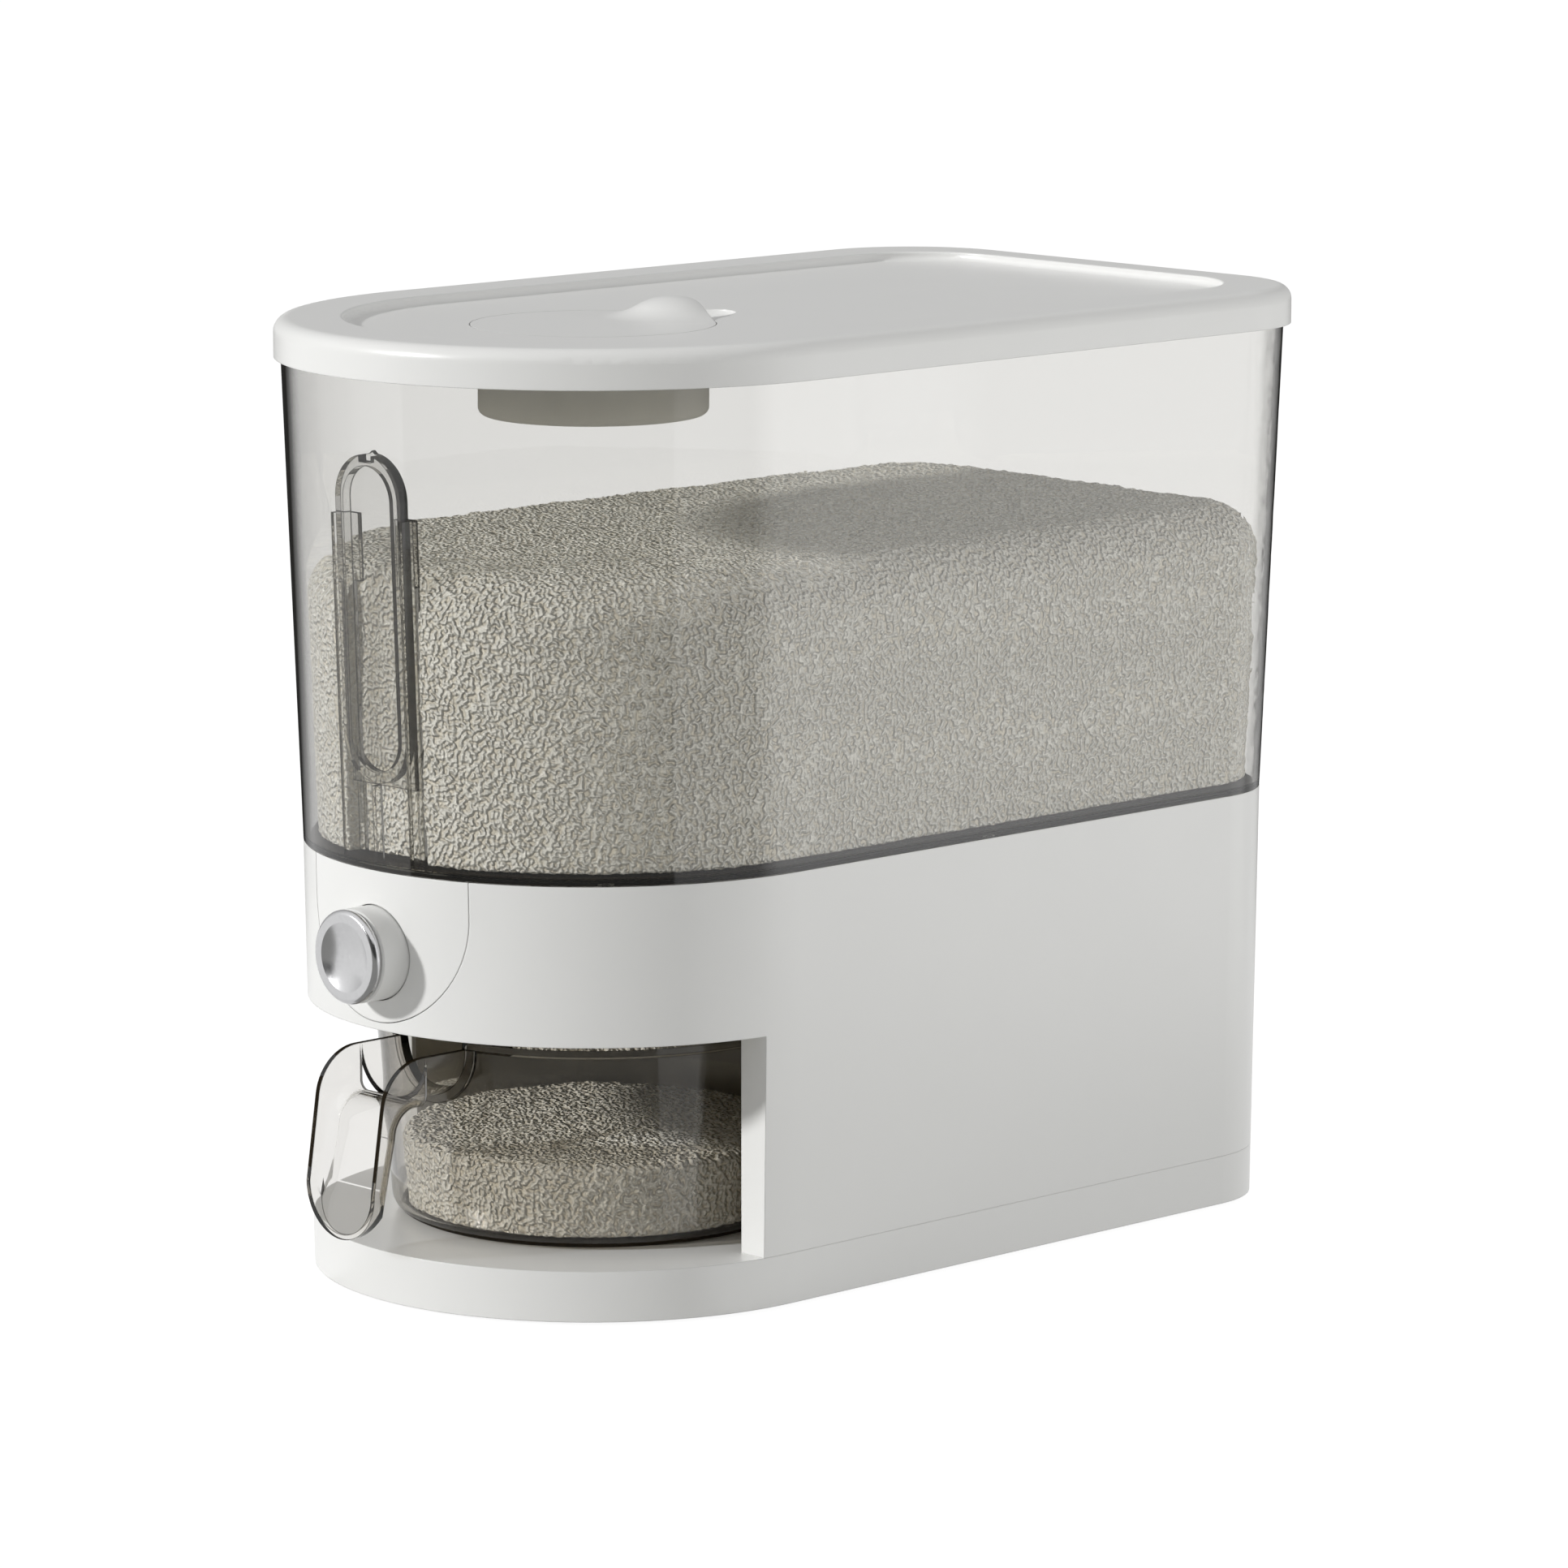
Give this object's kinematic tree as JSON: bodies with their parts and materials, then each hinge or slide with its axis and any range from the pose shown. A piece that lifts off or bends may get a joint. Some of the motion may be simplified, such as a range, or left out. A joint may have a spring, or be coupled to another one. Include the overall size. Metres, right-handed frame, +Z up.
{
  "type": "rice dispenser",
  "caption": "Free-standing kitchen rice dispenser with a clear hopper, push-on lid, push-button gate and a clear measuring cup that slides out as a drawer.",
  "frame": {"origin": "on the ground under the middle of the bounding box", "axes": "+Z up, the front with the button and the cup looks along -Y, +X to the viewer's right"},
  "size_m": [0.2166, 0.3746, 0.3314],
  "materials": {
    "white_shell": "satin injection-moulded white ABS",
    "inner_white": "matt injection-moulded white ABS, hidden side",
    "gate_plastic": "white acetal, smooth",
    "clear_smoke": "clear smoke-tinted styrene, polished",
    "plated": "satin chrome plating over plastic",
    "soft_seal": "translucent white silicone",
    "foot_rubber": "grey soft rubber",
    "screw_steel": "zinc-plated steel",
    "spring_steel": "drawn spring steel",
    "smoke_box": "smoke-tinted translucent plastic",
    "pack_fabric": "non-woven sachet",
    "rice": "polished short-grain rice"
  },
  "bodies": {
    "base": {"rubber_feet": "foot_rubber", "base_plate": "white_shell", "base_screws": "screw_steel", "housing": "white_shell", "bay_liner": "white_shell", "front_cover": "white_shell", "button_barrel": "inner_white", "barrel_screws": "screw_steel", "gate_track": "inner_white", "track_screws": "screw_steel", "funnel": "inner_white", "hopper_seal": "soft_seal", "hopper": "clear_smoke", "hopper_screws": "screw_steel", "return_spring": "spring_steel", "hopper_rice": "rice"},
    "button": {"button_cap": "plated", "button_body": "white_shell", "stem_screw": "screw_steel", "gate_slide": "gate_plastic"},
    "drawer": {"measuring_cup": "clear_smoke", "cup_rice": "rice"},
    "lid": {"lid": "white_shell", "lid_seal": "soft_seal"},
    "desiccant_box": {"desiccant_box": "smoke_box", "desiccant_pack": "pack_fabric"},
    "desiccant_cover": {"desiccant_cover": "white_shell", "cover_seal": "soft_seal"},
    "holder": {"slide_holder": "clear_smoke"}
  },
  "joints": [
    {"name": "button_press", "type": "slide", "parent": "base", "child": "button", "axis": [0, 1, 0], "range_m": [0, 0.01], "stiffness_N_per_m": 260, "springref_m": -0.008, "deforming": ["return_spring"]},
    {"name": "drawer_slide", "type": "slide", "parent": "base", "child": "drawer", "axis": [0, -1, 0], "range_m": [0, 0.175]},
    {"name": "lid_lift", "type": "slide", "parent": "base", "child": "lid", "axis": [0, 0, 1], "range_m": [0, 0.06]},
    {"name": "box_lift", "type": "slide", "parent": "lid", "child": "desiccant_box", "axis": [0, 0, 1], "range_m": [0, 0.036]},
    {"name": "cover_lift", "type": "slide", "parent": "desiccant_box", "child": "desiccant_cover", "axis": [0, 0, 1], "range_m": [0, 0.02]},
    {"name": "holder_slide", "type": "slide", "parent": "base", "child": "holder", "axis": [0, -0.0356, 0.9994], "range_m": [0, 0.022]}
  ]
}
